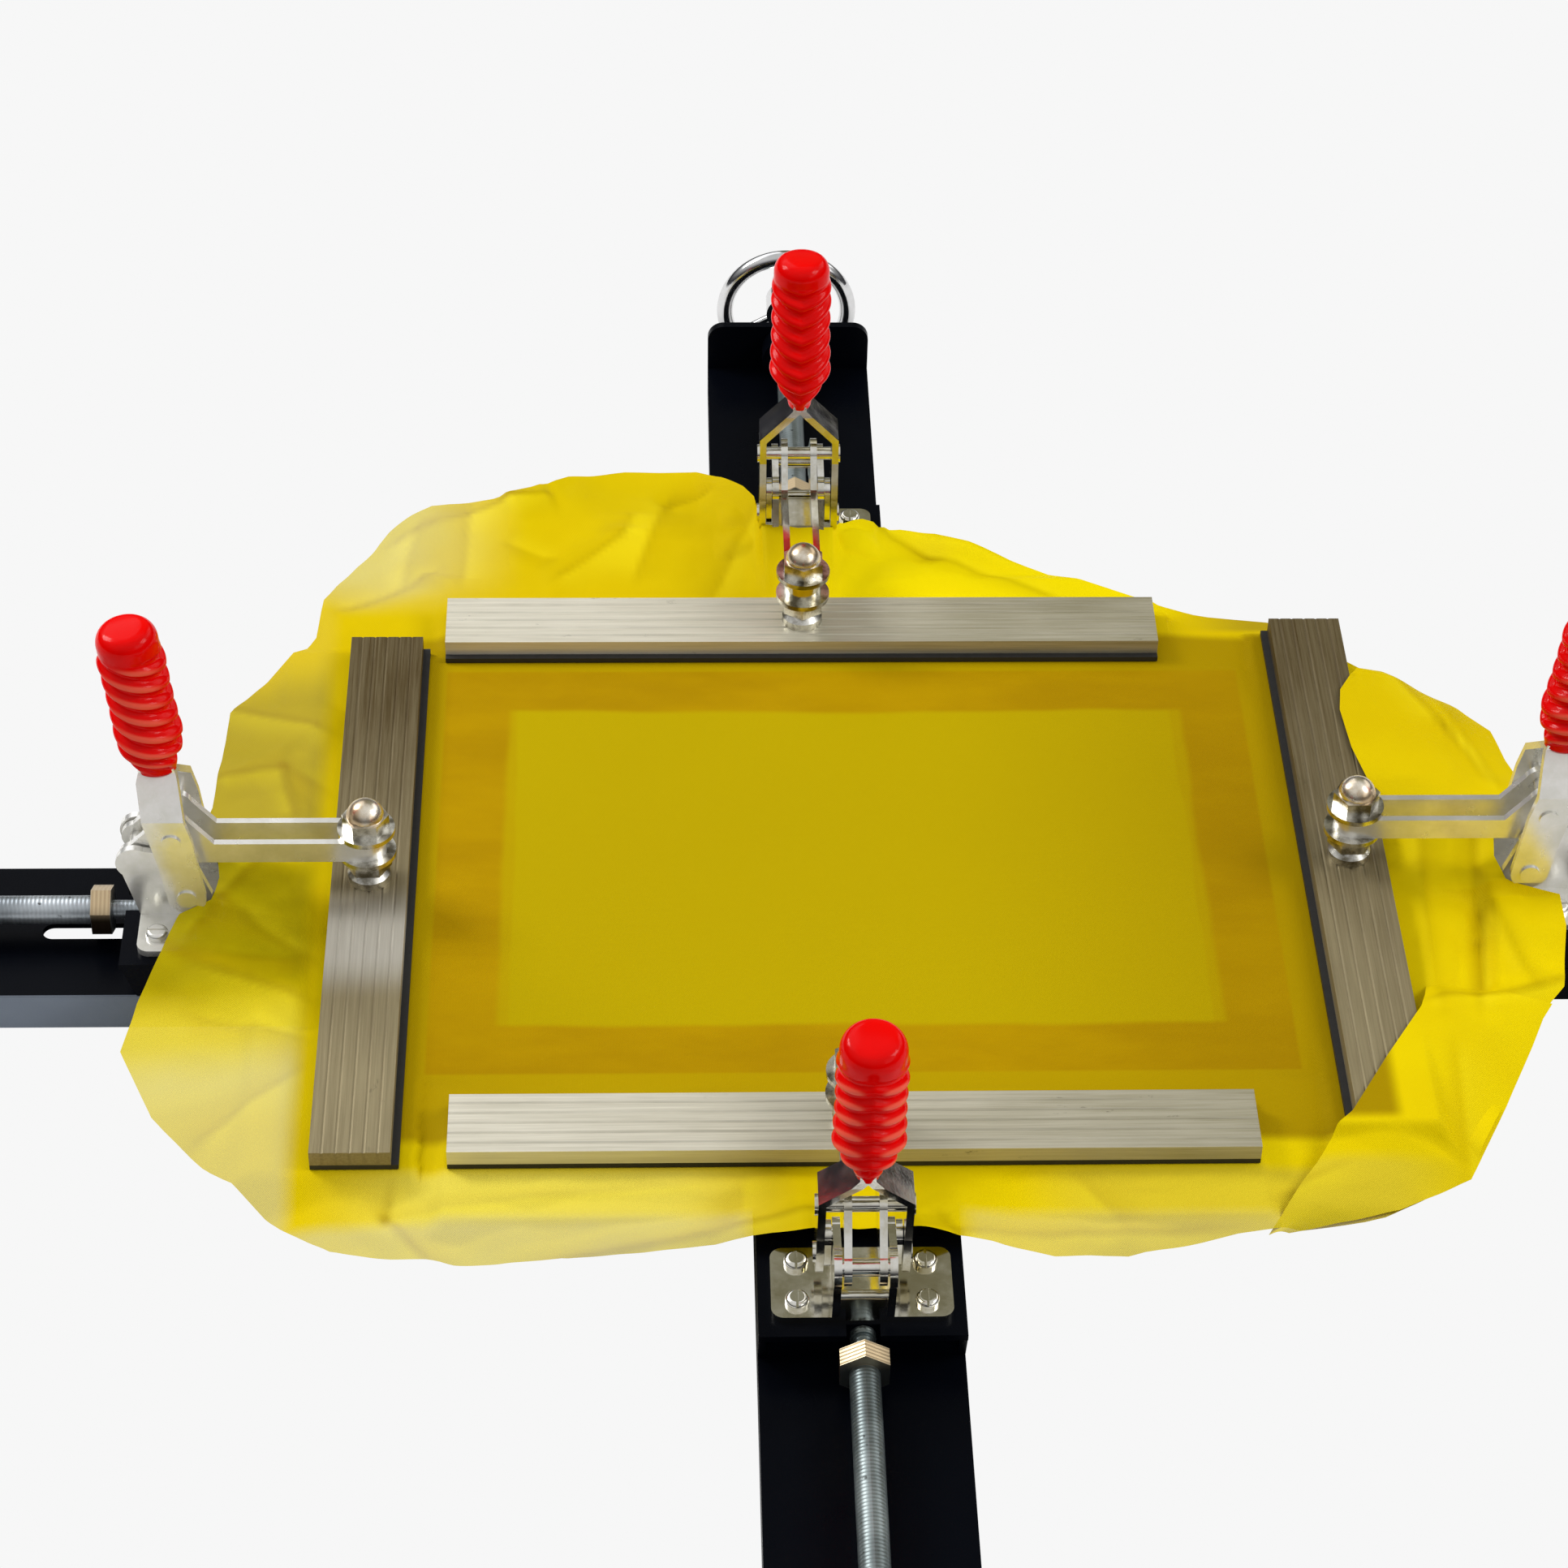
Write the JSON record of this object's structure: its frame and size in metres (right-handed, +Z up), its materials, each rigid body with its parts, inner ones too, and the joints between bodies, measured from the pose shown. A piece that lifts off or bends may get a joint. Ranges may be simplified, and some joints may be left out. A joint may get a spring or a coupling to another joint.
{
  "type": "screen stretcher",
  "caption": "Manual screen stretcher: screw-driven jaws with vertical toggle clamps grip yellow mesh on every side over a frame lying on a cross of channel arms",
  "frame": {"origin": "on the floor under the middle of the stretched mesh, which is the middle of the part's outline", "axes": "+X right, +Y away from the viewer, +Z up"},
  "size_m": [0.986, 0.888, 0.192],
  "materials": {
    "black_paint": "glossy black enamel",
    "black_rubber": "matt black",
    "frame_aluminium": "mill finish",
    "bar_aluminium": "extruded, lightly scratched",
    "zinc": "bright zinc plate",
    "screw_steel": "zinc-plated thread",
    "wheel_chrome": "polished",
    "red_grip": "glossy dipped grip",
    "yellow_mesh": "fine woven mesh"
  },
  "bodies": {
    "base": {"back_arm": "black_paint", "front_arm": "black_paint", "left_arm": "black_paint", "right_arm": "black_paint", "centre_plate": "black_paint", "feet": "black_rubber", "screen_frame": "frame_aluminium", "mesh": "yellow_mesh"},
    "back_slide": {"back_carriage": "black_paint", "back_lower_jaw": "black_paint", "back_clamp_base": "zinc", "back_mounting_hardware": "zinc"},
    "back_clamp": {"back_clamp_arm": "zinc", "back_spindle": "zinc", "back_jaw_bar": "bar_aluminium", "back_jaw_rubber": "black_rubber"},
    "back_lever": {"back_handle": "zinc", "back_grip": "red_grip"},
    "back_toggle": {"back_link": "zinc"},
    "back_drive": {"back_screw": "screw_steel", "back_handwheel": "wheel_chrome"},
    "front_slide": {"front_carriage": "black_paint", "front_lower_jaw": "black_paint", "front_clamp_base": "zinc", "front_mounting_hardware": "zinc"},
    "front_clamp": {"front_clamp_arm": "zinc", "front_spindle": "zinc", "front_jaw_bar": "bar_aluminium", "front_jaw_rubber": "black_rubber"},
    "front_lever": {"front_handle": "zinc", "front_grip": "red_grip"},
    "front_toggle": {"front_link": "zinc"},
    "front_drive": {"front_screw": "screw_steel", "front_handwheel": "wheel_chrome"},
    "left_slide": {"left_carriage": "black_paint", "left_lower_jaw": "black_paint", "left_clamp_base": "zinc", "left_mounting_hardware": "zinc"},
    "left_clamp": {"left_clamp_arm": "zinc", "left_spindle": "zinc", "left_jaw_bar": "bar_aluminium", "left_jaw_rubber": "black_rubber"},
    "left_lever": {"left_handle": "zinc", "left_grip": "red_grip"},
    "left_toggle": {"left_link": "zinc"},
    "left_drive": {"left_screw": "screw_steel", "left_handwheel": "wheel_chrome"},
    "right_slide": {"right_carriage": "black_paint", "right_lower_jaw": "black_paint", "right_clamp_base": "zinc", "right_mounting_hardware": "zinc"},
    "right_clamp": {"right_clamp_arm": "zinc", "right_spindle": "zinc", "right_jaw_bar": "bar_aluminium", "right_jaw_rubber": "black_rubber"},
    "right_lever": {"right_handle": "zinc", "right_grip": "red_grip"},
    "right_toggle": {"right_link": "zinc"},
    "right_drive": {"right_screw": "screw_steel", "right_handwheel": "wheel_chrome"}
  },
  "joints": [
    {"name": "back_travel", "type": "slide", "parent": "base", "child": "back_slide", "axis": [0, 1, 0], "range_m": [-0.005, 0.025]},
    {"name": "back_wheel_turn", "type": "hinge", "parent": "back_slide", "child": "back_drive", "pos_m": [-0.021, 0.432, 0.0396], "axis": [0, 1, 0], "range_deg": [-1029, 5143]},
    {"name": "back_clamp_opening", "type": "hinge", "parent": "back_slide", "child": "back_clamp", "pos_m": [-0.021, 0.2546, 0.076], "axis": [-1, 0, 0], "range_deg": [0, 90]},
    {"name": "back_handle_swing", "type": "hinge", "parent": "back_clamp", "child": "back_lever", "pos_m": [-0.021, 0.2376, 0.0927], "axis": [-1, 0, 0], "range_deg": [-24.3, 0]},
    {"name": "back_link_turn", "type": "hinge", "parent": "back_slide", "child": "back_toggle", "pos_m": [-0.021, 0.2352, 0.0739], "axis": [-1, 0, 0], "range_deg": [0, 205.3]},
    {"name": "front_travel", "type": "slide", "parent": "base", "child": "front_slide", "axis": [0, -1, 0], "range_m": [-0.005, 0.025]},
    {"name": "front_wheel_turn", "type": "hinge", "parent": "front_slide", "child": "front_drive", "pos_m": [-0.009, -0.432, 0.0396], "axis": [0, -1, 0], "range_deg": [-1029, 5143]},
    {"name": "front_clamp_opening", "type": "hinge", "parent": "front_slide", "child": "front_clamp", "pos_m": [-0.009, -0.2546, 0.076], "axis": [1, 0, 0], "range_deg": [0, 90]},
    {"name": "front_handle_swing", "type": "hinge", "parent": "front_clamp", "child": "front_lever", "pos_m": [-0.009, -0.2376, 0.0927], "axis": [1, 0, 0], "range_deg": [-24.3, 0]},
    {"name": "front_link_turn", "type": "hinge", "parent": "front_slide", "child": "front_toggle", "pos_m": [-0.009, -0.2352, 0.0739], "axis": [1, 0, 0], "range_deg": [0, 205.3]},
    {"name": "left_travel", "type": "slide", "parent": "base", "child": "left_slide", "axis": [-1, 0, 0], "range_m": [-0.005, 0.025]},
    {"name": "left_wheel_turn", "type": "hinge", "parent": "left_slide", "child": "left_drive", "pos_m": [-0.481, -0.014, 0.0396], "axis": [-1, 0, 0], "range_deg": [-1029, 5143]},
    {"name": "left_clamp_opening", "type": "hinge", "parent": "left_slide", "child": "left_clamp", "pos_m": [-0.3036, -0.014, 0.076], "axis": [0, -1, 0], "range_deg": [0, 90]},
    {"name": "left_handle_swing", "type": "hinge", "parent": "left_clamp", "child": "left_lever", "pos_m": [-0.2866, -0.014, 0.0927], "axis": [0, -1, 0], "range_deg": [-24.3, 0]},
    {"name": "left_link_turn", "type": "hinge", "parent": "left_slide", "child": "left_toggle", "pos_m": [-0.2842, -0.014, 0.0739], "axis": [0, -1, 0], "range_deg": [0, 205.3]},
    {"name": "right_travel", "type": "slide", "parent": "base", "child": "right_slide", "axis": [1, 0, 0], "range_m": [-0.005, 0.025]},
    {"name": "right_wheel_turn", "type": "hinge", "parent": "right_slide", "child": "right_drive", "pos_m": [0.481, -0.002, 0.0396], "axis": [1, 0, 0], "range_deg": [-1029, 5143]},
    {"name": "right_clamp_opening", "type": "hinge", "parent": "right_slide", "child": "right_clamp", "pos_m": [0.3036, -0.002, 0.076], "axis": [0, 1, 0], "range_deg": [0, 90]},
    {"name": "right_handle_swing", "type": "hinge", "parent": "right_clamp", "child": "right_lever", "pos_m": [0.2866, -0.002, 0.0927], "axis": [0, 1, 0], "range_deg": [-24.3, 0]},
    {"name": "right_link_turn", "type": "hinge", "parent": "right_slide", "child": "right_toggle", "pos_m": [0.2842, -0.002, 0.0739], "axis": [0, 1, 0], "range_deg": [0, 205.3]}
  ],
  "couplings": [
    {"joint": "back_wheel_turn", "follows": "back_travel", "rad_per_m": 3590.4},
    {"joint": "back_handle_swing", "follows": "back_clamp_opening", "ratio": -0.27},
    {"joint": "back_link_turn", "follows": "back_clamp_opening", "ratio": 2.281},
    {"joint": "front_wheel_turn", "follows": "front_travel", "rad_per_m": 3590.4},
    {"joint": "front_handle_swing", "follows": "front_clamp_opening", "ratio": -0.27},
    {"joint": "front_link_turn", "follows": "front_clamp_opening", "ratio": 2.281},
    {"joint": "left_wheel_turn", "follows": "left_travel", "rad_per_m": 3590.4},
    {"joint": "left_handle_swing", "follows": "left_clamp_opening", "ratio": -0.27},
    {"joint": "left_link_turn", "follows": "left_clamp_opening", "ratio": 2.281},
    {"joint": "right_wheel_turn", "follows": "right_travel", "rad_per_m": 3590.4},
    {"joint": "right_handle_swing", "follows": "right_clamp_opening", "ratio": -0.27},
    {"joint": "right_link_turn", "follows": "right_clamp_opening", "ratio": 2.281}
  ]
}
